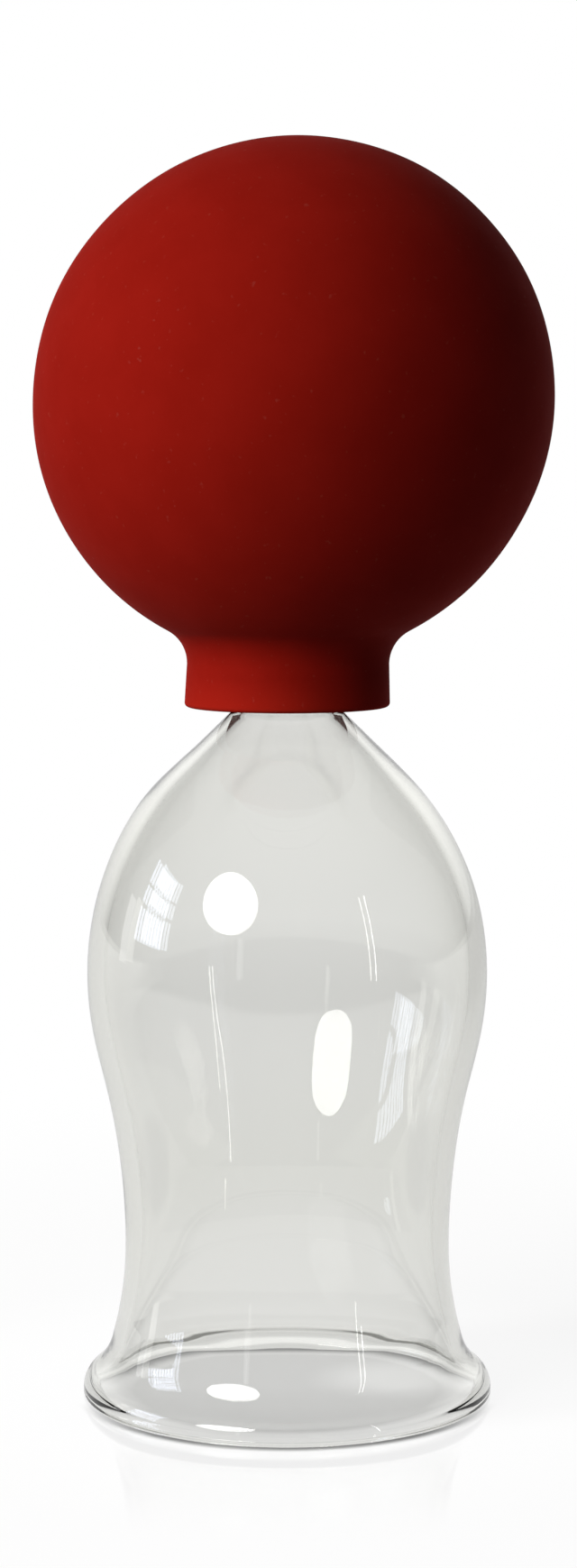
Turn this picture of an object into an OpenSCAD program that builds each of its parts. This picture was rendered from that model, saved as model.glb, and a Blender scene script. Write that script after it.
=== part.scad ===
// Cupping glass: a blown glass cup whose stem carries a rubber squeeze ball.
// The cup stands on its rim. The origin is the centre of the rim's resting face, and +Z is up.

/* [Glass cup] */
// Outer diameter of the rim
rim_d = 50; // [40:0.5:62]
// Radius of the rounded outer edge of the rim
rim_bead_r = 1.1; // [0.8:0.1:1.6]
// Radius of the rounded inner edge of the rim
rim_edge_r = 1; // [0.5:0.1:1.4]
// Height of the waist above the table
waist_h = 18.4; // [14:0.2:24]
// How far the waist draws in from the rim, on each side
waist_in = 5.2; // [3.5:0.1:7]
// Height of the belly above the waist
belly_rise = 33.6; // [26:0.2:42]
// How far the belly swells out from the waist, on each side
belly_out = 4.5; // [3:0.1:6.5]
// Radius of the curve under the belly
belly_under_r = 40; // [25:1:60]
// Radius of the curve from the belly up over the shoulder
shoulder_r = 34.5; // [26:0.5:42]
// Slope of the shoulder's straight stretch, in degrees from the vertical
shoulder_slope = 45.5; // [38:0.5:54]
// Thickness of the glass
glass_wall = 2.1; // [1.6:0.1:2.8]

/* [Glass stem] */
// Outer diameter of the stem
stem_d = 13.2; // [11:0.2:16]
// Radius of the turn from the shoulder into the stem
neck_turn_r = 0.8; // [0.4:0.1:2]
// How far the end of the stem stands past the collar's bore
stem_past = 3.5; // [1:0.5:6]

/* [Rubber ball] */
// Outer diameter of the ball
ball_d = 62.4; // [52:0.2:72]
// Thickness of the ball's wall
ball_wall = 2.8; // [2:0.1:4]
// Outer diameter of the collar where it meets the turn into the ball
collar_d = 24.4; // [21:0.2:28]
// How much wider the collar is at its mouth, on each side
collar_flare = 0.2; // [0:0.1:0.8]
// Height of the collar below the turn into the ball
collar_h = 5.2; // [3:0.2:9]
// Radius of the hollow turn between collar and ball
collar_turn_r = 4.5; // [2.5:0.1:6]
// Rounding of the collar's lower edge
collar_edge_r = 0.5; // [0.2:0.1:1]

/* [Squeezed patches] */
// Half angle of the patch of wall that a thumb or a finger presses in, seen from the ball's centre
patch_angle = 40; // [30:1:46]
// Gap around each patch
patch_gap = 0.3; // [0.1:0.05:0.5]

/* [Fits] */
// Gap between the stem and the collar's bore, all round
stem_clearance = 0.05; // [0.02:0.01:0.1]
// Gap between the turn at the stem's foot and the collar's mouth
seat_clearance = 0.1; // [0.05:0.05:0.3]

/* [Hidden] */

// Greatest distance between a curve and the straight steps that draw it
curve_tolerance = 0.01;
// Steps in a full turn
$fn = 128;
// How deep the turn's upper end sinks into the ball, so that the two cross cleanly
turn_sink = 0.05;

// The cup's radii and heights, from the table up
rim_r = rim_d / 2;
waist_r = rim_r - waist_in;
belly_r = waist_r + belly_out;
belly_h = waist_h + belly_rise;
stem_r = stem_d / 2;
bore_r = stem_r + stem_clearance;

// The rim: an outer bead and an inner edge, both touching the table
bead_c = [rim_r - rim_bead_r, rim_bead_r];
edge_r = min(rim_edge_r, glass_wall / 2);

// The flare runs from the waist to the middle of the bead
flare_in = waist_in - rim_bead_r;
flare_rise = waist_h - rim_bead_r;
flare_r = (flare_in * flare_in + flare_rise * flare_rise) / (2 * flare_in);
flare_c = [waist_r + flare_r, waist_h];
flare_end = crossing(bead_c, rim_bead_r, flare_c, flare_r);
edge_reach = flare_r + glass_wall - edge_r;
edge_c = [flare_c.x - sqrt(edge_reach * edge_reach - (waist_h - edge_r) * (waist_h - edge_r)), edge_r];

// The hollow curve over the waist runs smoothly into the curve under the belly
curves_r = (belly_out * belly_out + belly_rise * belly_rise) / (2 * belly_out);
waist_curve_r = curves_r - belly_under_r;
under_turn = asin(belly_rise / curves_r);
waist_c = [waist_r + waist_curve_r, waist_h];
under_c = [belly_r - belly_under_r, belly_h];

// The shoulder: a curve, a straight stretch and a small turn into the stem
shoulder_c = [belly_r - shoulder_r, belly_h];
shoulder_top = point_on(shoulder_c, shoulder_r, shoulder_slope);
neck_corner_h = shoulder_top.y + (shoulder_top.x - stem_r) / tan(shoulder_slope);
neck_h = neck_corner_h + neck_turn_r * tan(shoulder_slope / 2);
neck_c = [stem_r + neck_turn_r, neck_h];

// The ball sits on the foot of the stem
ball_r = ball_d / 2;
cavity_r = ball_r - ball_wall;
collar_r = collar_d / 2;
mouth_r = collar_r + collar_flare;
mouth_h = neck_h + seat_clearance;
turn_h = mouth_h + collar_h;
turn_reach = ball_r - turn_sink + collar_turn_r;
turn_c = [collar_r + collar_turn_r, turn_h];
ball_h = turn_h + sqrt(turn_reach * turn_reach - turn_c.x * turn_c.x);
turn_end = atan2(ball_h - turn_h, -turn_c.x);
turn_top_h = point_on(turn_c, collar_turn_r, turn_end).y;
patch_r = ball_r * sin(patch_angle);

// The stem's end is rounded over the whole thickness of the glass
stem_end_r = glass_wall / 2;
stem_top_h = ball_h - sqrt(cavity_r * cavity_r - bore_r * bore_r) + stem_past;
stem_end_c = [stem_r - stem_end_r, stem_top_h - stem_end_r];

// A point on a circle, at an angle
function point_on(centre, radius, angle) = centre + radius * [cos(angle), sin(angle)];

// The direction from one point to another, from 0 to 360 degrees
function bearing(from, to) = (atan2(to.y - from.y, to.x - from.x) + 360) % 360;

// The point where two circles cross, on the left of the line from the first centre to the second
function crossing(c1, r1, c2, r2) =
    let (gap = norm(c2 - c1))
    let (along = (c2 - c1) / gap)
    let (foot = (gap * gap + r1 * r1 - r2 * r2) / (2 * gap))
    let (rise = sqrt(r1 * r1 - foot * foot))
    c1 + foot * along + rise * [-along.y, along.x];

// Points along an arc, as close as the tolerance asks, without the last one
function open_arc(centre, radius, from, to) =
    let (step = 2 * acos(1 - curve_tolerance / radius))
    let (steps = max(2, ceil(abs(to - from) / step)))
    [for (i = [0:steps - 1]) point_on(centre, radius, from + (to - from) * i / steps)];

// Points along an arc, with the last one
function arc(centre, radius, from, to) = concat(open_arc(centre, radius, from, to), [point_on(centre, radius, to)]);

function reversed(points) = [for (i = [len(points) - 1:-1:0]) points[i]];

// The cup's side from the stem down to the waist, at a depth under the outer surface
function side(depth) = concat(
    arc(neck_c, neck_turn_r + depth, 180, 180 + shoulder_slope),
    open_arc(shoulder_c, shoulder_r - depth, shoulder_slope, 0),
    open_arc(under_c, belly_under_r - depth, 0, -under_turn),
    open_arc(waist_c, waist_curve_r + depth, 180 - under_turn, 180));

// The flare and the rim, from the outside of the waist round to its inside
function rim() = concat(
    open_arc(flare_c, flare_r, 180, bearing(flare_c, flare_end)),
    arc(bead_c, rim_bead_r, bearing(bead_c, flare_end), -90),
    open_arc(edge_c, edge_r, 270, bearing(flare_c, edge_c)),
    arc(flare_c, flare_r + glass_wall, bearing(flare_c, edge_c), 180));

// The outline of the collar and of its turn into the ball, filled to the axis
function collar_outline() = concat(
    [[0, mouth_h]],
    arc([mouth_r - collar_edge_r, mouth_h + collar_edge_r], collar_edge_r, -90, 0),
    arc(turn_c, collar_turn_r, 180, turn_end),
    [[0, turn_top_h]]);

module at_ball() {
    translate([0, 0, ball_h])
        children();
}

// A round bar through the ball's centre, towards -Y (side 1) or +Y (side -1)
module patch_bar(side, radius) {
    at_ball()
        rotate([90 * side, 0, 0])
            cylinder(r = radius, h = ball_d);
}

module cavity() {
    at_ball()
        sphere(r = cavity_r);
}

// One patch of the ball's wall
module patch(side) {
    difference() {
        intersection() {
            at_ball()
                sphere(r = ball_r);
            patch_bar(side, patch_r - patch_gap);
        }
        cavity();
    }
}

// The cup, blown in one piece with its stem
module glass_cup() {
    color([0.86, 0.9, 0.88, 0.5])
        rotate_extrude()
            polygon(concat(arc(stem_end_c, stem_end_r, 180, 0), side(0), rim(), reversed(side(glass_wall))));
}

// The ball and its collar, without the two patches that are pressed in
module rubber_ball() {
    color("#8e1a12")
        difference() {
            union() {
                at_ball()
                    sphere(r = ball_r);
                rotate_extrude()
                    polygon(collar_outline());
            }
            cavity();
            translate([0, 0, mouth_h - collar_h])
                cylinder(r = bore_r, h = collar_h + ball_r);
            for (side = [1, -1])
                patch_bar(side, patch_r);
        }
}

// The side of the ball under the thumb
module ball_thumb_side() {
    color("#98201a")
        patch(1);
}

// The side of the ball under the fingers
module ball_finger_side() {
    color("#98201a")
        patch(-1);
}

glass_cup();
rubber_ball();
ball_thumb_side();
ball_finger_side();
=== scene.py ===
"""Dresses the cupping glass: a blown glass cup whose stem carries a soft red rubber ball."""
import math

import bpy
from bpy.props import FloatProperty, FloatVectorProperty, IntProperty, PointerProperty
from bpy.types import NodeSocket, Operator, Panel, PropertyGroup
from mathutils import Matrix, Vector, noise


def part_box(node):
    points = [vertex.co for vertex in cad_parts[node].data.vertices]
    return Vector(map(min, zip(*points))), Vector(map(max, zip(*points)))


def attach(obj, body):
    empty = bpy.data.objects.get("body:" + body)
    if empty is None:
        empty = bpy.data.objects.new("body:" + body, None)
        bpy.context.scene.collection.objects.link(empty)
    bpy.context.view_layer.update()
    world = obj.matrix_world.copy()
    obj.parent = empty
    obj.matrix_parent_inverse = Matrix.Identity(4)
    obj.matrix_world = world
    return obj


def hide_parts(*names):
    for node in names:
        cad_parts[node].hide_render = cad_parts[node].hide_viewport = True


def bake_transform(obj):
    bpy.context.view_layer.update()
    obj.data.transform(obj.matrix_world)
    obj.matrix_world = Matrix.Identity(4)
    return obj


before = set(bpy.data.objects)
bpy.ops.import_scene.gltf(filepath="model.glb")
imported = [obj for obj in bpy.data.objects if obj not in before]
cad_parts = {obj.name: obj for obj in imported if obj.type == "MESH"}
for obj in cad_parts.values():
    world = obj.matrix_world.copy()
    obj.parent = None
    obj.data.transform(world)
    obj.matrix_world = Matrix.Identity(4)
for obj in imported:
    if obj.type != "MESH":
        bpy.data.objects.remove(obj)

bl_info = {
    "name": "Cupping glass",
    "version": (1, 0, 0),
    "blender": (4, 5, 0),
    "location": "3D View > Sidebar > Cupping glass",
    "description": "Builds a glass cup with a rubber squeeze ball, and the table and light to show it",
    "category": "Object",
}

MM = 0.001
SAME_POINT = 0.001 * MM
HALF_TURN, QUARTER = math.pi, math.pi / 2
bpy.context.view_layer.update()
CUP_LOW, CUP_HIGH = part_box("glass_cup")
BALL_LOW, BALL_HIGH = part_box("rubber_ball")

# The stage: what the bright panels stand round, what the lights point at, and how far off both are, in metres
PANEL_MIDDLE, LIGHT_AIM = Vector((0, 0, 60 * MM)), Vector((0, 0, 90 * MM))
PANEL_AWAY, LAMP_AWAY = 1.3, 1.2
# How light the lit table and the dim room look in a reflection
LIT, DIM = 0.8, 0.15


def linear(hex_colour):
    """The linear RGB of an sRGB hex colour."""
    parts = [int(hex_colour[i:i + 2], 16) / 255 for i in (1, 3, 5)]
    return tuple(c / 12.92 if c <= 0.04045 else ((c + 0.055) / 1.055) ** 2.4 for c in parts)


def length(name, description, millimetres):
    """A length that a user can change, written in millimetres and kept in metres."""
    return FloatProperty(name=name, description=description, default=millimetres * MM, unit="LENGTH",
                         subtype="DISTANCE", precision=5)


def angle(name, description, degrees):
    """An angle that a user can change, written in degrees and kept in radians."""
    return FloatProperty(name=name, description=description, default=math.radians(degrees), unit="ROTATION",
                         subtype="ANGLE")


def colour(name, description, hex_colour):
    """A colour that a user can change, written as sRGB hex."""
    return FloatVectorProperty(name=name, description=description, size=3, subtype="COLOR", min=0, max=1,
                               default=linear(hex_colour))


class CupSizes(PropertyGroup):
    """Sizes of the blown glass cup."""
    rim_d: length("Rim", "Outer diameter of the rim", (CUP_HIGH.x - CUP_LOW.x) / MM)
    flare_r: length("Flare", "Radius of the curve from the waist down into the flare", 39)
    flare_slope: angle("Flare slope", "Slope of the flare above the lip, from the vertical", 13.2)
    flare_wall: length("Flare wall", "Thickness of the glass above the lip", 1.7)
    lip_r: length("Lip turn", "Radius of the turn outwards into the lip", 7)
    ring_r: length("Rim ring", "Radius of the turn down again from the lip into the rim's ring", 2.6)
    ring_h: length("Ring height", "Height of the ring's upright face above the table", 0.9)
    edge_r: length("Ring edge", "Rounding of the ring's two lower edges", 0.45)
    foot: length("Ring foot", "Thickness of the ring that the cup stands on", 1.9)
    waist_h: length("Waist height", "Height of the waist above the table", 18.4)
    waist_in: length("Waist", "How far the waist draws in from the rim", 5.2)
    belly_rise: length("Belly height", "Height of the belly above the waist", 33.6)
    belly_out: length("Belly", "How far the belly swells out from the waist", 4.5)
    under_r: length("Curve under the belly", "Radius of the curve under the belly", 40)
    shoulder_r: length("Shoulder curve", "Radius of the curve over the shoulder", 34.5)
    shoulder_slope: angle("Shoulder slope", "Slope of the shoulder from the vertical", 45.5)
    wall: length("Wall", "Thickness of the glass", 2.1)
    stem_d: length("Stem", "Outer diameter of the stem", 13.2)
    neck_r: length("Neck turn", "Radius of the turn from the shoulder into the stem", 0.8)
    throat_r: length("Throat turn", "Radius of the same turn on the inside", 3)
    throat_wall: length("Throat wall", "Thickness of the glass at that turn", 1.5)
    stem_top: length("Stem top", "Height of the stem's end above the table", CUP_HIGH.z / MM)
    fuller: length("Fuller shoulder", "How much fuller the blown shoulder is on its left", 0.45)
    fuller_rise: length("Fuller height", "Height of that fuller place above the belly", 23)
    heavy: length("Heavy back", "How much thicker the back of the wall is below the belly than above", 1.8)
    ripple: length("Ripple", "Depth of the slow ripples that blowing leaves in the wall", 0.05)
    turns: IntProperty(name="Steps round", description="Steps in a full turn of the cup", default=224, min=48)


class BallSizes(PropertyGroup):
    """Sizes of the moulded rubber ball."""
    ball_d: length("Ball", "Outer diameter of the ball", (BALL_HIGH.x - BALL_LOW.x) / MM)
    wall: length("Wall", "Thickness of the ball's wall", 2.8)
    collar_d: length("Collar", "Outer diameter of the collar under the ball", 24.4)
    collar_flare: length("Collar flare", "How much wider the collar is at its mouth, on each side", 0.2)
    collar_h: length("Collar height", "Height of the collar below its turn into the ball", 5.2)
    turn_r: length("Collar turn", "Radius of the hollow turn between collar and ball", 4.5)
    edge_r: length("Collar edge", "Rounding of the collar's lower edge", 0.5)
    bore_d: length("Bore", "Diameter of the collar's bore", 13.3)
    mouth_h: length("Mouth height", "Height of the collar's mouth above the table", BALL_LOW.z / MM)
    lean: angle("Lean", "How far the soft ball leans over its collar", 1.2)
    dent: length("Dents", "Depth of the faint dents in the soft wall", 0.1)
    press_edge: length("Press edge", "Distance from the middle at which a pressed side starts to give", 12.5)
    press_full: length("Press full", "Distance from the middle at which a pressed side gives fully", 36)
    turns: IntProperty(name="Steps round", description="Steps in half a turn of the ball", default=128, min=32)


class Finishes(PropertyGroup):
    """Colours of the glass and the rubber."""
    glass: colour("Glass", "What the glass lets through", "#CFD1A8")
    rubber: colour("Rubber", "The red of the rubber", "#A11B11")
    rubber_deep: colour("Rubber, deep", "The deeper red of its mottling", "#91150B")
    # Painted light: a paler red near the collar's mouth, for light bounced up from the table below
    rubber_bounce_lit: colour("Rubber, painted bounce light", "The paler red painted near the mouth for light bounced up from below", "#AE2014")
    bloom: colour("Bloom", "Dust and bloom on the rubber", "#C27C70")


class StageSettings(PropertyGroup):
    """Camera and light."""
    eye: FloatVectorProperty(name="Camera", description="Place of the camera", size=3, unit="LENGTH",
                             subtype="TRANSLATION", default=(0.00016, -0.4, 0.1132))
    pitch: angle("Pitch", "How far the camera looks down", 5.474)
    lens: FloatProperty(name="Lens", description="Focal length on the 36 mm long side", default=76.21)
    window_power: FloatProperty(name="Window", description="Power of the window's light", default=9.4, subtype="POWER")
    lamp_power: FloatProperty(name="Lamp", description="Power of the round lamp", default=6.3, subtype="POWER")


class CuppingGlass(PropertyGroup):
    """Everything that a user can change."""
    cup: PointerProperty(type=CupSizes)
    ball: PointerProperty(type=BallSizes)
    finish: PointerProperty(type=Finishes)
    stage: PointerProperty(type=StageSettings)


def arc(centre, radius, start, end, step, end_radius=None):
    """Points along an arc between two angles in radians, at most one step apart. Its radius can change on the way."""
    count = max(4, math.ceil(abs(end - start) * radius / min(step, radius / 4)))
    grow = 0 if end_radius is None else end_radius - radius
    points = []
    for i in range(count + 1):
        turn, reach = start + (end - start) * i / count, radius + grow * i / count
        points.append((centre[0] + reach * math.cos(turn), centre[1] + reach * math.sin(turn)))
    return points


def line(start, end, count):
    """Points along a straight line, both ends with it."""
    return [tuple(a + (b - a) * i / count for a, b in zip(start, end)) for i in range(count + 1)]


def joined(*runs):
    """Runs of points as one, each point once."""
    points = []
    for run in runs:
        for p in run:
            if not points or math.dist(p, points[-1]) > SAME_POINT:
                points.append(p)
    return points


def bearing(start, end):
    """The angle of the line from one point to another, from 0 to a full turn."""
    return math.atan2(end[1] - start[1], end[0] - start[0]) % math.tau


def softened(chain, width):
    """A run of points with its changes of curve eased over a width, its ends and its curves kept."""
    least = 0.2 * MM

    def eased(points):
        """One easing. It draws the curves in a little, and a second one shows by how much."""
        along = [0.0]
        for a, b in zip(points, points[1:]):
            along.append(along[-1] + math.dist(a, b))
        result = []
        for i, here in enumerate(along):
            reach = min(width, here / 3, (along[-1] - here) / 3)
            total, radius, height = 0.0, 0.0, 0.0
            for j in range(1, len(points) - 1):
                off = along[j] - here
                if reach and abs(off) < 3 * reach:
                    weight = math.exp(-0.5 * (off / reach) ** 2) * (along[j + 1] - along[j - 1])
                    total += weight
                    radius += weight * points[j][0]
                    height += weight * points[j][1]
            result.append((radius / total, height / total) if total and reach > least else points[i])
        return result

    once = eased(chain)
    return [(2 * a[0] - b[0], 2 * a[1] - b[1]) for a, b in zip(once, eased(once))]


def smooth(low, high, value):
    """0 below low, 1 above high and a smooth rise between them."""
    t = min(1, max(0, (value - low) / (high - low)))
    return t * t * (3 - 2 * t)


def mesh_object(name, points, faces, material):
    """A mesh object with smooth faces and one material."""
    mesh = bpy.data.meshes.new(name)
    mesh.from_pydata(points, [], faces)
    mesh.validate()
    mesh.shade_smooth()
    mesh.materials.append(material)
    made = bpy.data.objects.new(name, mesh)
    bpy.context.scene.collection.objects.link(made)
    return made


def add_node(tree, kind, inputs=None, **settings):
    """Adds a node with its settings, and gives each named input its value or link."""
    node = tree.nodes.new(kind)
    for name, value in settings.items():
        setattr(node, name, value)
    for name, value in (inputs or {}).items():
        if isinstance(value, NodeSocket):
            tree.links.new(value, node.inputs[name])
        else:
            node.inputs[name].default_value = value
    return node


def empty_material(name):
    """A material whose node tree is still empty."""
    material = bpy.data.materials.new(name)
    material.use_nodes = True
    material.node_tree.nodes.clear()
    return material


# Soda-lime glass, blown and fire-polished. The fire leaves it mirror smooth, so it shows sharp highlights, and
# the drawing of the hot wall leaves faint lines up and down that waver what is seen through it. The iron in it
# shows as a grey olive wherever the eye looks along the wall, at the rim and at the sides.
def blown_glass(tint):
    material = empty_material("soda_lime_glass_fire_polished")
    tree = material.node_tree
    place = add_node(tree, "ShaderNodeTexCoord").outputs["Object"]
    # Draw lines 3 mm apart and ten times as long
    line_gap, line_l = 3 * MM, 30 * MM
    drawn = add_node(tree, "ShaderNodeMapping", {"Vector": place, "Scale": (1 / line_gap, 1 / line_gap, 1 / line_l)})
    lines = add_node(tree, "ShaderNodeTexNoise", {"Vector": drawn.outputs[0], "Scale": 1.0, "Detail": 1.0})
    bump = add_node(tree, "ShaderNodeBump", {"Height": lines.outputs["Fac"], "Strength": 0.05, "Distance": 0.02 * MM})
    glass = add_node(tree, "ShaderNodeBsdfPrincipled", {
        "Base Color": (1, 1, 1, 1), "Roughness": 0.0, "IOR": 1.52, "Transmission Weight": 1.0,
        "Normal": bump.outputs[0]})
    # 2 mm of wall takes a few percent of the light, and a long way along the rim much more, blue most of all
    absorbed = add_node(tree, "ShaderNodeVolumeAbsorption", {"Color": (*tint, 1), "Density": 40.0})
    add_node(tree, "ShaderNodeOutputMaterial", {"Surface": glass.outputs[0], "Volume": absorbed.outputs[0]})
    return material


# Natural rubber, pigmented red and pressure-moulded. The mould leaves a dead matt skin with a fine grain, and
# age a dull bloom and specks of dust, which lighten it a little where it is seen aslant. Near the collar's mouth
# a paler red is painted in, as painted light that stands in for light bounced up from the table below.
def moulded_rubber(finish, mouth_h):
    material = empty_material("natural_rubber_moulded_red")
    tree = material.node_tree
    red, deep, bounce_red, bloom = ((*c, 1) for c in (finish.rubber, finish.rubber_deep, finish.rubber_bounce_lit, finish.bloom))
    place = add_node(tree, "ShaderNodeTexCoord").outputs["Object"]
    # Mottling in patches of about 7 mm
    mottle = add_node(tree, "ShaderNodeTexNoise", {
        "Vector": place, "Scale": 1 / (7 * MM), "Detail": 4.0, "Roughness": 0.6})
    mottled = add_node(tree, "ShaderNodeMix", {0: mottle.outputs["Fac"], 6: red, 7: deep}, data_type="RGBA")
    # Painted bounce light: the last 4 mm above the mouth are paler, for light bounced up from below
    height = add_node(tree, "ShaderNodeSeparateXYZ", {0: place}).outputs["Z"]
    painted_bounce = add_node(tree, "ShaderNodeMapRange", {
        "Value": height, "From Min": mouth_h, "From Max": mouth_h + 4 * MM, "To Min": 1.0, "To Max": 0.0})
    bounce_lit_red = add_node(tree, "ShaderNodeMix", {
        0: painted_bounce.outputs[0], 6: mottled.outputs[2], 7: bounce_red}, data_type="RGBA")
    # Specks of dust of about 0.4 mm, few of them
    speck = add_node(tree, "ShaderNodeTexNoise", {"Vector": place, "Scale": 1 / (0.7 * MM), "Detail": 1.0})
    few = add_node(tree, "ShaderNodeMapRange", {
        "Value": speck.outputs["Fac"], "From Min": 0.7, "From Max": 0.8, "To Max": 0.1})
    dusty = add_node(tree, "ShaderNodeMix", {0: few.outputs[0], 6: bounce_lit_red.outputs[2], 7: bloom}, data_type="RGBA")
    # Grain of 0.25 mm, drawn at 0.5 mm so that it shows
    grain = add_node(tree, "ShaderNodeTexNoise", {"Vector": place, "Scale": 1 / (0.5 * MM), "Detail": 2.0})
    bump = add_node(tree, "ShaderNodeBump", {"Height": grain.outputs["Fac"], "Strength": 0.25, "Distance": 0.05 * MM})
    rough = add_node(tree, "ShaderNodeMapRange", {"Value": mottle.outputs["Fac"], "To Min": 0.8, "To Max": 0.95})
    rubber = add_node(tree, "ShaderNodeBsdfPrincipled", {
        "Base Color": dusty.outputs[2], "Roughness": rough.outputs[0], "IOR": 1.52, "Specular IOR Level": 0.1,
        "Sheen Weight": 0.02, "Sheen Roughness": 0.5, "Sheen Tint": bloom, "Normal": bump.outputs[0]})
    add_node(tree, "ShaderNodeOutputMaterial", {"Surface": rubber.outputs[0]})
    return material


def lip_middle(cup, flare, ring, out, down):
    """The middle of the lip's turn: the flare runs straight down just so far that the lip meets the ring."""
    halvings = 40
    low, high = 0, cup.waist_h - cup.flare_r * out[1]
    for _ in range(halvings):
        run = (low + high) / 2
        lip = tuple(f + (cup.lip_r - cup.flare_r) * o + run * d for f, o, d in zip(flare, out, down))
        if math.dist(lip, ring) > cup.lip_r + cup.ring_r:
            low = run
        else:
            high = run
    return lip


def cup_outline(cup):
    """The closed outline of the cup's wall as radius and height, and how many of its points come before the inside.

    It goes from the stem's end down the outside, round the rim and up the inside."""
    step, easing = 0.5 * MM, 3 * MM
    stem_r, rim_r, wall, slope = cup.stem_d / 2, cup.rim_d / 2, cup.wall, cup.shoulder_slope
    waist_r = rim_r - cup.waist_in
    belly_r = waist_r + cup.belly_out
    belly_h = cup.waist_h + cup.belly_rise
    # The rim: the wall flares from the waist, runs straight, turns out into a lip and down again into a ring
    tilt, edge = cup.flare_slope, cup.edge_r
    out, down = (math.cos(tilt), math.sin(tilt)), (math.sin(tilt), -math.cos(tilt))
    flare = (waist_r + cup.flare_r, cup.waist_h)
    ring = (rim_r - cup.ring_r, cup.ring_h)
    lip = lip_middle(cup, flare, ring, out, down)
    lip_end = bearing(lip, ring)
    rim = joined(
        arc((rim_r - edge, edge), edge, 0, -QUARTER, step),
        arc((rim_r - cup.foot + edge, edge), edge, -QUARTER, -HALF_TURN, step))
    # The side from the stem down over belly, waist and flare
    curves_r = (cup.belly_out ** 2 + cup.belly_rise ** 2) / (2 * cup.belly_out)
    waist_curve_r = curves_r - cup.under_r
    turn = math.asin(cup.belly_rise / curves_r)
    waist = (waist_r + waist_curve_r, cup.waist_h)
    under = (belly_r - cup.under_r, belly_h)
    shoulder = (belly_r - cup.shoulder_r, belly_h)
    top = (shoulder[0] + cup.shoulder_r * math.cos(slope), shoulder[1] + cup.shoulder_r * math.sin(slope))
    corner_h = top[1] + (top[0] - stem_r) / math.tan(slope)

    def side(depth, neck_depth, flare_depth, foot_depth, neck_r):
        """One side of the wall from the stem's end to the ring, by its depth below the outside at each place."""
        neck = (stem_r - neck_depth + neck_r, corner_h + (neck_r - neck_depth) * math.tan(slope / 2))
        turned = arc(neck, neck_r, HALF_TURN, HALF_TURN + slope, step / 4)
        curved = arc(shoulder, cup.shoulder_r - depth, slope, 0, step)
        drawn = joined(
            line(turned[-1], curved[0], 20), curved,
            arc(under, cup.under_r - depth, 0, -turn, step),
            arc(waist, waist_curve_r + depth, HALF_TURN - turn, HALF_TURN, step),
            arc(flare, cup.flare_r + depth, HALF_TURN, HALF_TURN + tilt, step, cup.flare_r + flare_depth),
            arc(lip, cup.lip_r + flare_depth, HALF_TURN + tilt, lip_end, step))
        return joined(
            line((stem_r - depth, cup.stem_top - wall / 2), turned[0], 24), turned, softened(drawn, easing),
            arc(ring, cup.ring_r - flare_depth, lip_end - HALF_TURN, 0, step / 2, cup.ring_r - foot_depth))

    end = arc((stem_r - wall / 2, cup.stem_top - wall / 2), wall / 2, HALF_TURN, 0, step)
    outer = joined(end, side(0, 0, 0, 0, cup.neck_r), rim)
    inner = side(wall, cup.throat_wall, cup.flare_wall, cup.foot, cup.throat_r)
    outline = joined(outer, reversed(inner))
    if math.dist(outline[0], outline[-1]) < SAME_POINT:
        outline.pop()
    return outline, len(outer)


def blown_wall(cup):
    """Points and faces of the cup's wall: its outline turned, and made as uneven as blowing leaves it."""
    outline, inside_from = cup_outline(cup)
    belly_h = cup.waist_h + cup.belly_rise
    heavy_h, heavy_fade = cup.waist_h + 0.45 * cup.belly_rise, 6.5 * MM
    fuller_h, fuller_fade = belly_h + cup.fuller_rise, 9 * MM
    neck_h = fuller_h + 6 * MM
    # Heights between which the heavy back and the ripples come in and go out again
    heavy_in, heavy_out = (14 * MM, 26 * MM), (belly_h + 2 * MM, belly_h + 20 * MM)
    free_in, free_out = (4 * MM, 16 * MM), (neck_h - 8 * MM, neck_h)
    slow_ripple, small_ripple, small_share = 16 * MM, 6 * MM, 0.2
    points, faces = [], []
    for k in range(cup.turns):
        turn = math.tau * k / cup.turns
        out = Vector((math.cos(turn), math.sin(turn), 0))
        at_back = smooth(0.2, 0.8, out.y)
        for i, (radius, height) in enumerate(outline):
            # At the back the wall is thin round the belly and heavy from there down to the waist
            if i >= inside_from:
                heavy = 0.25 - 0.5 * math.tanh((height - heavy_h) / heavy_fade)
                kept = smooth(*heavy_in, height) * (1 - smooth(*heavy_out, height))
                radius -= cup.heavy * heavy * kept * at_back
            p = out * radius + Vector((0, 0, height))
            # Blown by hand: slow ripples, and a shoulder that is fuller on its left; stem and rim stay true
            free = smooth(*free_in, height) * (1 - smooth(*free_out, height))
            push = cup.ripple * (noise.noise(p / slow_ripple) + small_share * noise.noise(p / small_ripple))
            push += cup.fuller * max(0, -out.x) ** 2 * math.exp(-((height - fuller_h) / fuller_fade) ** 2)
            points.append(p + out * push * free)
    n = len(outline)
    for k in range(cup.turns):
        here, there = k * n, (k + 1) % cup.turns * n
        for i in range(n):
            j = (i + 1) % n
            faces.append((here + i, here + j, there + j, there + i))
    return points, faces


class CUPPING_OT_glass_cup(Operator):
    """Blows the glass cup with its stem, belly, waist and rim"""
    bl_idname = "cupping.glass_cup"
    bl_label = "Glass cup"

    def execute(self, context):
        cup, finish = context.scene.cupping_glass.cup, context.scene.cupping_glass.finish
        made = mesh_object("glass_cup_blown", *blown_wall(cup), blown_glass(finish.glass))
        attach(made, "glass")
        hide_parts("glass_cup")
        return {"FINISHED"}


def ball_middle(ball):
    """Height of the ball's middle, which the hollow turn above the collar sets."""
    turn_reach = ball.collar_d / 2 + ball.turn_r
    return ball.mouth_h + ball.collar_h + math.sqrt((ball.ball_d / 2 + ball.turn_r) ** 2 - turn_reach ** 2)


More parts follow.
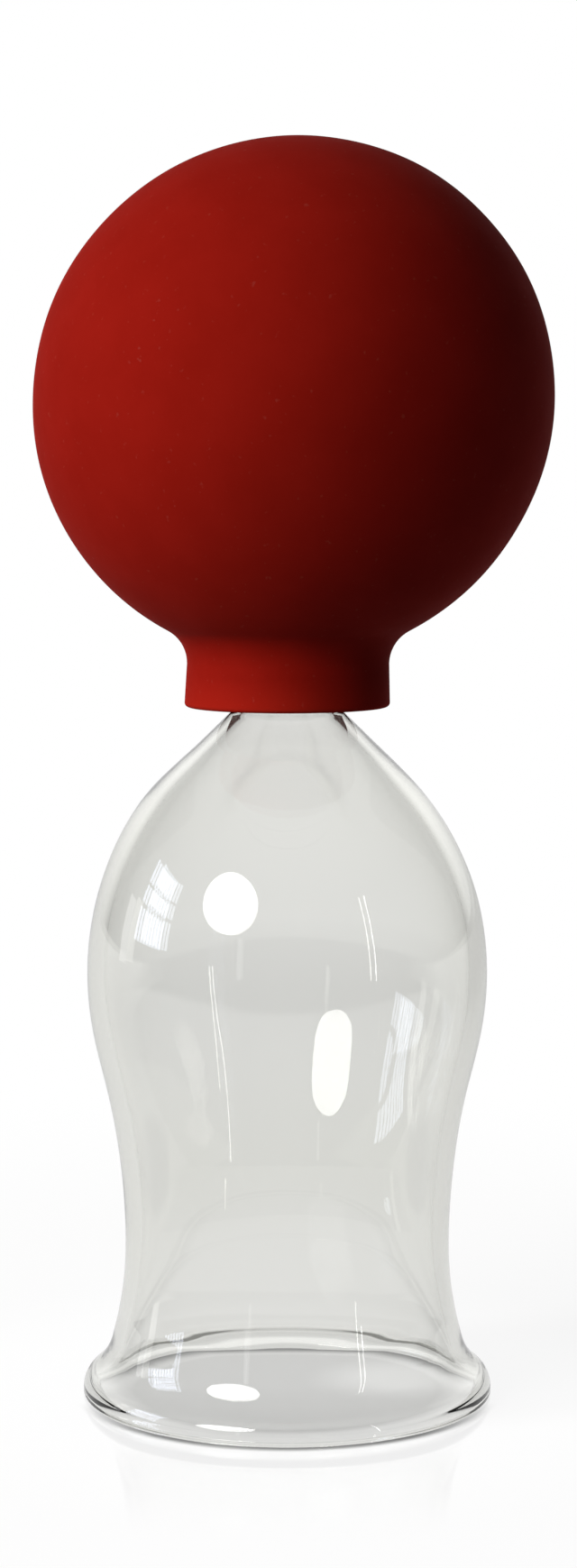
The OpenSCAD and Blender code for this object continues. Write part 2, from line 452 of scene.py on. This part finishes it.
def ball_chains(ball):
    """The ball's outer and inner outline from the top down to the mouth, as many points in each."""
    step = 0.6 * MM
    ball_r, collar_r, bore_r = ball.ball_d / 2, ball.collar_d / 2, ball.bore_d / 2
    mouth_r, cavity_r = collar_r + ball.collar_flare, ball_r - ball.wall
    turn = (collar_r + ball.turn_r, ball.mouth_h + ball.collar_h)
    middle = (0, ball_middle(ball))
    low = math.atan2(turn[1] - middle[1], turn[0])
    outer = joined(
        arc(middle, ball_r, QUARTER, low, step),
        arc(turn, ball.turn_r, low + HALF_TURN, HALF_TURN, step),
        line((collar_r, turn[1]), (mouth_r, ball.mouth_h + ball.edge_r), 12),
        arc((mouth_r - ball.edge_r, ball.mouth_h + ball.edge_r), ball.edge_r, 0, -QUARTER, step))
    foot = -math.acos(bore_r / cavity_r)
    bore_top = middle[1] + cavity_r * math.sin(foot)
    bore = line((bore_r, bore_top), (bore_r, ball.mouth_h), 24)
    round_steps = len(outer) - len(bore)
    cavity = [(cavity_r * math.cos(a), middle[1] + cavity_r * math.sin(a))
              for a in (QUARTER + (foot - QUARTER) * i / round_steps for i in range(round_steps))]
    return outer, cavity + bore


def half_ball(name, ball, first_turn, material):
    """Half of the ball with its collar, closed where the two halves meet."""
    outer, inner = ball_chains(ball)
    middle = Vector((0, 0, ball_middle(ball)))
    # The collar has no dents and its bore stays upright, so these come in between two heights above it
    dent_l, dents_in = 14 * MM, (ball.mouth_h + 8 * MM, ball.mouth_h + 16 * MM)
    lean_in = (ball.mouth_h + 13 * MM, ball.mouth_h + 28 * MM)
    sharp_from = math.radians(50)
    n = len(outer)
    points, faces, rows = [], [], []

    def shaped(radius, height, turn, ramp):
        """A point of the wall, with its faint dent and the ball's lean."""
        p = Vector((radius * math.cos(turn), radius * math.sin(turn), height))
        give = ball.dent * noise.noise(p / dent_l) * smooth(*dents_in, height)
        lean = math.tan(ball.lean) * (height - ball.mouth_h) * ramp
        return p + (p - middle).normalized() * give + Vector((lean, 0, 0))

    for chain, is_inner in ((outer, False), (inner, True)):
        grid = []
        for i, (radius, height) in enumerate(chain):
            ramp = smooth(*lean_in, height) if is_inner else 1
            row = []
            for k in range(ball.turns + 1):
                if i == 0 and k > 0:
                    row.append(row[0])
                    continue
                row.append(len(points))
                points.append(shaped(radius, height, first_turn + HALF_TURN * k / ball.turns, ramp))
            grid.append(row)
        rows.append(grid)
    out, ins = rows
    for k in range(ball.turns):
        for i in range(n - 1):
            faces.append([out[i][k], out[i + 1][k], out[i + 1][k + 1], out[i][k + 1]])
            faces.append([ins[i][k], ins[i][k + 1], ins[i + 1][k + 1], ins[i + 1][k]])
        faces.append([out[-1][k], ins[-1][k], ins[-1][k + 1], out[-1][k + 1]])
    for i in range(n - 1):
        faces.append([out[i][0], ins[i][0], ins[i + 1][0], out[i + 1][0]])
        faces.append([out[i][-1], out[i + 1][-1], ins[i + 1][-1], ins[i][-1]])
    # The top row is one point, which a face names only once
    made = mesh_object(name, points, [list(dict.fromkeys(f)) for f in faces], material)
    made.data.set_sharp_from_angle(angle=sharp_from)
    return made


class CUPPING_OT_rubber_ball(Operator):
    """Moulds the rubber ball with its collar, as a thumb half and a finger half"""
    bl_idname = "cupping.rubber_ball"
    bl_label = "Rubber ball"

    def execute(self, context):
        ball, finish = context.scene.cupping_glass.ball, context.scene.cupping_glass.finish
        rubber = moulded_rubber(finish, ball.mouth_h)
        thumb = half_ball("ball_thumb_half", ball, HALF_TURN, rubber)
        finger = half_ball("ball_finger_half", ball, 0, rubber)
        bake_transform(thumb)
        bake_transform(finger)
        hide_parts("rubber_ball", "ball_thumb_side")
        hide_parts("ball_finger_side")
        return {"FINISHED"}


def seen_value(tree, path, white, through, mirrored, ambient):
    """What a ray gets from the surroundings: the camera's own, one through glass, off a mirror or off a matt face."""
    glass = add_node(tree, "ShaderNodeMix", {0: path["Glossy Depth"], 2: through, 3: mirrored}, data_type="FLOAT")
    plain = add_node(tree, "ShaderNodeMix", {
        0: path["Is Camera Ray"], 2: glass.outputs[0], 3: white}, data_type="FLOAT")
    return add_node(tree, "ShaderNodeMix", {
        0: path["Diffuse Depth"], 2: plain.outputs[0], 3: ambient}, data_type="FLOAT").outputs[0]


def ring_shade(tree, away, depth, rim_r):
    """The narrow band of the table that the back half of the rim's ring shades under it."""
    off_ring = add_node(tree, "ShaderNodeMath", {0: away, 1: rim_r - 2 * MM}, operation="SUBTRACT")
    gap = add_node(tree, "ShaderNodeMath", {0: off_ring.outputs[0]}, operation="ABSOLUTE")
    dark = add_node(tree, "ShaderNodeMapRange", {
        "Value": gap.outputs[0], "From Max": 4 * MM, "To Min": 0.3, "To Max": 1.0}, interpolation_type="SMOOTHSTEP")
    back = add_node(tree, "ShaderNodeMapRange", {"Value": depth, "From Max": 12 * MM})
    return add_node(tree, "ShaderNodeMix", {
        0: back.outputs[0], 2: 1.0, 3: dark.outputs[0]}, data_type="FLOAT").outputs[0]


def table_mirrored(tree, place, axes, shaded):
    """The table in a reflection: lit up to a curve 240 mm in front of the cup, and dimmer on the right."""
    narrowed = add_node(tree, "ShaderNodeVectorMath", {0: place, 1: (0.6, 1, 1)}, operation="MULTIPLY")
    forward = add_node(tree, "ShaderNodeVectorMath", {0: narrowed.outputs[0]}, operation="LENGTH")
    ahead = add_node(tree, "ShaderNodeMapRange", {
        "Value": forward.outputs["Value"], "From Min": 210 * MM, "From Max": 270 * MM, "To Min": LIT, "To Max": DIM},
        interpolation_type="SMOOTHSTEP")
    behind = add_node(tree, "ShaderNodeMapRange", {
        "Value": axes["Y"], "From Min": -50 * MM, "From Max": 100 * MM, "To Min": DIM, "To Max": LIT},
        interpolation_type="SMOOTHSTEP")
    lit = add_node(tree, "ShaderNodeMath", {0: ahead.outputs[0], 1: behind.outputs[0]}, operation="MAXIMUM")
    under = add_node(tree, "ShaderNodeMath", {0: lit.outputs[0], 1: shaded}, operation="MULTIPLY")
    right = add_node(tree, "ShaderNodeMapRange", {
        "Value": axes["X"], "From Min": 0.0, "From Max": 200 * MM, "To Min": 1.0, "To Max": 0.8})
    return add_node(tree, "ShaderNodeMath", {0: under.outputs[0], 1: right.outputs[0]}, operation="MULTIPLY").outputs[0]


def table_through_glass(tree, place, away, depth, shaded):
    """The table through the glass, with painted shade: a little grey, most inside the rim where the cup shades it, and
    again about 250 mm away.
    """
    ramp_end = 600
    share = add_node(tree, "ShaderNodeMath", {0: away, 1: ramp_end * MM}, operation="DIVIDE")
    grey = add_node(tree, "ShaderNodeValToRGB", {0: share.outputs[0]})
    ramp = grey.color_ramp.elements
    ramp[0].position, ramp[1].position = 0, 1
    # Levels by the distance from the middle in millimetres: inside the rim, under its ring and behind it
    for spot, level in ((18.9, 0.62), (21, 0.85), (23.1, 1.0), (27.6, 1.0), (36, 0.78),
                        (120, 0.775), (252, 0.755), (300, 0.76), (480, 0.83)):
        ramp.new(spot / ramp_end).color = (level, level, level, 1)
    ramp[0].color, ramp[-1].color = ramp[1].color, ramp[-2].color
    # Painted shade: darker towards the front, down to 0.8 at 20 mm before the middle
    front = add_node(tree, "ShaderNodeMapRange", {
        "Value": depth, "From Min": -20 * MM, "From Max": 0.0, "To Min": 0.8, "To Max": 1.0})
    fronted = add_node(tree, "ShaderNodeMath", {0: grey.outputs[0], 1: front.outputs[0]}, operation="MULTIPLY")
    under = add_node(tree, "ShaderNodeMath", {0: fronted.outputs[0], 1: shaded}, operation="MULTIPLY")
    # The glass gathers some light inside the rim, on the right
    from_spot = add_node(tree, "ShaderNodeVectorMath", {0: place, 1: (14 * MM, 5 * MM, 0)}, operation="DISTANCE")
    gathered = add_node(tree, "ShaderNodeMapRange", {
        "Value": from_spot.outputs["Value"], "From Min": 3 * MM, "From Max": 13 * MM, "To Min": 1.25, "To Max": 1.0},
        interpolation_type="SMOOTHSTEP")
    return add_node(tree, "ShaderNodeMath", {
        0: under.outputs[0], 1: gathered.outputs[0]}, operation="MULTIPLY").outputs[0]


def table_seen(tree, away, depth, near, rim_r):
    """The table as the camera sees it: white, a little greyer near the cup, and with a thin shadow before the ring."""
    white = add_node(tree, "ShaderNodeMath", {0: near, 1: -0.105, 2: 1.0}, operation="MULTIPLY_ADD")
    thin = add_node(tree, "ShaderNodeMapRange", {
        "Value": away, "From Min": rim_r, "From Max": rim_r + 1.6 * MM, "To Min": 0.2, "To Max": 1.0},
        interpolation_type="SMOOTHSTEP")
    front = add_node(tree, "ShaderNodeMapRange", {
        "Value": depth, "From Min": -20 * MM, "From Max": -6 * MM, "To Min": 1.0, "To Max": 0.0})
    edged = add_node(tree, "ShaderNodeMix", {0: front.outputs[0], 2: 1.0, 3: thin.outputs[0]}, data_type="FLOAT")
    return add_node(tree, "ShaderNodeMath", {0: white.outputs[0], 1: edged.outputs[0]}, operation="MULTIPLY").outputs[0]


# White laminate, pressed smooth: it mirrors the rim faintly, and is matt enough to take a soft shadow.
def table_top(rim_r):
    material = empty_material("white_laminate_table")
    tree = material.node_tree
    path = add_node(tree, "ShaderNodeLightPath").outputs
    place = add_node(tree, "ShaderNodeNewGeometry").outputs["Position"]
    away = add_node(tree, "ShaderNodeVectorMath", {0: place}, operation="LENGTH").outputs["Value"]
    axes = add_node(tree, "ShaderNodeSeparateXYZ", {0: place}).outputs
    near = add_node(tree, "ShaderNodeMapRange", {
        "Value": away, "From Min": 60 * MM, "From Max": 200 * MM, "To Min": 1.0, "To Max": 0.0},
        interpolation_type="SMOOTHSTEP").outputs[0]
    shaded = ring_shade(tree, away, axes["Y"], rim_r)
    level = seen_value(
        tree, path, white=table_seen(tree, away, axes["Y"], near, rim_r),
        through=table_through_glass(tree, place, away, axes["Y"], shaded),
        mirrored=table_mirrored(tree, place, axes, shaded), ambient=0.075)
    glow = add_node(tree, "ShaderNodeEmission", {"Color": (1, 1, 1, 1), "Strength": level})
    # The soft shadow falls on a matt share of the table near the cup
    seen_near = add_node(tree, "ShaderNodeMath", {0: near, 1: path["Is Camera Ray"]}, operation="MULTIPLY")
    matt_level = add_node(tree, "ShaderNodeMath", {0: seen_near.outputs[0], 1: 0.2}, operation="MULTIPLY")
    matt = add_node(tree, "ShaderNodeBsdfDiffuse", {"Color": matt_level.outputs[0]})
    both = add_node(tree, "ShaderNodeAddShader", {0: glow.outputs[0], 1: matt.outputs[0]})
    # The mirror image fades with its distance from the rim
    gloss = add_node(tree, "ShaderNodeBsdfGlossy", {"Color": (1, 1, 1, 1), "Roughness": 0.02})
    fade = add_node(tree, "ShaderNodeMapRange", {
        "Value": away, "From Min": 32 * MM, "From Max": 60 * MM, "To Min": 0.5, "To Max": 0.0},
        interpolation_type="SMOOTHSTEP")
    fresnel = add_node(tree, "ShaderNodeFresnel", {"IOR": 1.6})
    share = add_node(tree, "ShaderNodeMath", {0: fade.outputs[0], 1: fresnel.outputs[0]}, operation="MULTIPLY")
    mixed = add_node(tree, "ShaderNodeMixShader", {0: share.outputs[0], 1: both.outputs[0], 2: gloss.outputs[0]})
    add_node(tree, "ShaderNodeOutputMaterial", {"Surface": mixed.outputs[0]})
    return material


def room_world():
    """A white backdrop behind the table and a dim room round it."""
    world = bpy.data.worlds.new("room")
    world.use_nodes = True
    tree = world.node_tree
    tree.nodes.clear()
    path = add_node(tree, "ShaderNodeLightPath").outputs
    direction = add_node(tree, "ShaderNodeTexCoord").outputs["Generated"]
    axes = add_node(tree, "ShaderNodeSeparateXYZ", {0: direction}).outputs
    # In a reflection the backdrop is whitest above the horizon, and the ceiling is half as light
    behind = add_node(tree, "ShaderNodeMapRange", {
        "Value": axes["Y"], "From Min": 0.6, "From Max": 0.85, "To Min": DIM, "To Max": 0.85})
    upper = add_node(tree, "ShaderNodeMapRange", {
        "Value": axes["Z"], "From Min": 0.0, "From Max": 0.2, "To Min": 1.0, "To Max": 1.25})
    backdrop = add_node(tree, "ShaderNodeMath", {0: behind.outputs[0], 1: upper.outputs[0]}, operation="MULTIPLY")
    ceiling = add_node(tree, "ShaderNodeMapRange", {
        "Value": axes["Z"], "From Min": 0.3, "From Max": 0.9, "To Min": 0.0, "To Max": 0.5})
    mirrored = add_node(tree, "ShaderNodeMath", {0: backdrop.outputs[0], 1: ceiling.outputs[0]}, operation="MAXIMUM")
    level = seen_value(tree, path, white=1.0, through=0.8, mirrored=mirrored.outputs[0], ambient=0.01)
    back = add_node(tree, "ShaderNodeBackground", {"Color": (1, 1, 1, 1), "Strength": level})
    add_node(tree, "ShaderNodeOutputWorld", {"Surface": back.outputs[0]})
    return world


def towards(azimuth, elevation, distance):
    """A point seen from the middle of the cup, by azimuth from the camera's side and elevation in degrees."""
    a, e = math.radians(azimuth), math.radians(elevation)
    return Vector((math.sin(a) * math.cos(e), -math.cos(a) * math.cos(e), math.sin(e))) * distance + PANEL_MIDDLE


def pane(left, right, low, high):
    """The four corners of a flat pane, by azimuth and elevation in degrees."""
    return [towards(a, e, PANEL_AWAY) for a, e in ((left, low), (right, low), (right, high), (left, high))]


def light_panel(name, panes, strength, hex_colour):
    """A bright panel made of flat panes, which polished glass shows and the duller table doesn't."""
    material = empty_material(name)
    tree = material.node_tree
    polished = add_node(tree, "ShaderNodeLightPath").outputs["Is Singular Ray"]
    seen = add_node(tree, "ShaderNodeMath", {0: polished, 1: strength}, operation="MULTIPLY")
    glow = add_node(tree, "ShaderNodeEmission", {"Color": (*linear(hex_colour), 1), "Strength": seen.outputs[0]})
    add_node(tree, "ShaderNodeOutputMaterial", {"Surface": glow.outputs[0]})
    points, faces = [], []
    for corners in panes:
        faces.append(list(range(len(points), len(points) + len(corners))))
        points.extend(corners)
    panel = mesh_object(name, points, faces, material)
    panel.visible_camera = panel.visible_diffuse = panel.visible_shadow = False


def area_light(name, shape, place, size, power):
    """A light that shades the rubber and the table, and that no mirror or glass shows."""
    light = bpy.data.lights.new(name, "AREA")
    light.shape, light.energy = shape, power
    light.size, light.size_y = size
    lamp = bpy.data.objects.new(name, light)
    lamp.location = place
    lamp.rotation_mode = "QUATERNION"
    lamp.rotation_quaternion = (place - LIGHT_AIM).to_track_quat("Z", "Y")
    lamp.visible_camera = lamp.visible_glossy = lamp.visible_transmission = False
    bpy.context.scene.collection.objects.link(lamp)


def circle(across, deep, steps):
    """Points round a level ellipse, by its two half widths."""
    return [Vector((across * math.cos(t), deep * math.sin(t), 0)) for t in (math.tau * i / steps for i in range(steps))]


class CUPPING_OT_stage(Operator):
    """Sets up the table, the window, the lamps and the camera"""
    bl_idname = "cupping.stage"
    bl_label = "Table, light and camera"

    def execute(self, context):
        scene, stage = context.scene, context.scene.cupping_glass.stage
        table_r, table_steps = 3.0, 96
        top = table_top(scene.cupping_glass.cup.rim_d / 2)
        mesh_object("table", circle(table_r, table_r, table_steps), [list(range(table_steps))], top)
        scene.world = room_world()
        # A window on the left with three rows of panes, a narrow one further back, and a round lamp on its stand
        first, pane_step, pane_w, columns = -99.5, 2.5, 1.9, 9
        window = [pane(first + pane_step * i, first + pane_step * i + pane_w, low, high)
                  for low, high in ((4.5, 13.4), (14.6, 19.5), (20.3, 27)) for i in range(columns)]
        lamp_middle, half_width, half_height, lamp_steps = towards(-37, 28, LAMP_AWAY), 0.34, 0.255, 64
        facing = (lamp_middle - PANEL_MIDDLE).to_track_quat("Z", "Y")
        lamp = [lamp_middle + facing @ p for p in circle(half_width, half_height, lamp_steps)]
        for name, panes, strength, hex_colour in (
                ("window_panes", window, 5.5, "#E4EBFF"),
                ("narrow_window", [pane(-111, -104.5, -3, 13)], 1.8, "#FFFFFF"),
                ("bright_gap", [pane(50.6, 51.3, -2, 29)], 11.0, "#FFFFFF"),
                ("lamp_stand", [pane(-28, -26, -1, 15)], 1.5, "#FFFFFF"),
                ("round_lamp", [lamp], 10.0, "#FFFFFF")):
            light_panel(name, panes, strength, hex_colour)
        area_light("window_light", "RECTANGLE", towards(-71.7, 21.7, LAMP_AWAY), (0.3, 1.3), stage.window_power)
        area_light("lamp_light", "DISK", towards(-44, 20, LAMP_AWAY), (0.6, 0.6), stage.lamp_power)
        camera = bpy.data.cameras.new("camera")
        camera.lens, camera.sensor_width, camera.clip_start = stage.lens, 36, 0.01
        eye = bpy.data.objects.new("camera", camera)
        eye.location = stage.eye
        eye.rotation_euler = (QUARTER - stage.pitch, 0, 0)
        scene.collection.objects.link(eye)
        scene.camera = eye
        scene.view_settings.view_transform = "Standard"
        return {"FINISHED"}


class CUPPING_PT_sidebar(Panel):
    """Lists the steps that build the cupping glass"""
    bl_idname = "CUPPING_PT_sidebar"
    bl_label = "Cupping glass"
    bl_space_type = "VIEW_3D"
    bl_region_type = "UI"
    bl_category = "Cupping glass"

    def draw(self, context):
        for step in STEPS:
            self.layout.operator(step.bl_idname)


STEPS = (CUPPING_OT_glass_cup, CUPPING_OT_rubber_ball, CUPPING_OT_stage)
CLASSES = (CupSizes, BallSizes, Finishes, StageSettings, CuppingGlass, *STEPS, CUPPING_PT_sidebar)


def register():
    for kind in CLASSES:
        bpy.utils.register_class(kind)
    bpy.types.Scene.cupping_glass = PointerProperty(type=CuppingGlass)


def unregister():
    del bpy.types.Scene.cupping_glass
    for kind in reversed(CLASSES):
        bpy.utils.unregister_class(kind)


def main():
    """Builds every piece and the stage."""
    register()
    bpy.ops.cupping.glass_cup()
    bpy.ops.cupping.rubber_ball()
    bpy.ops.cupping.stage()


if __name__ == "__main__":
    main()
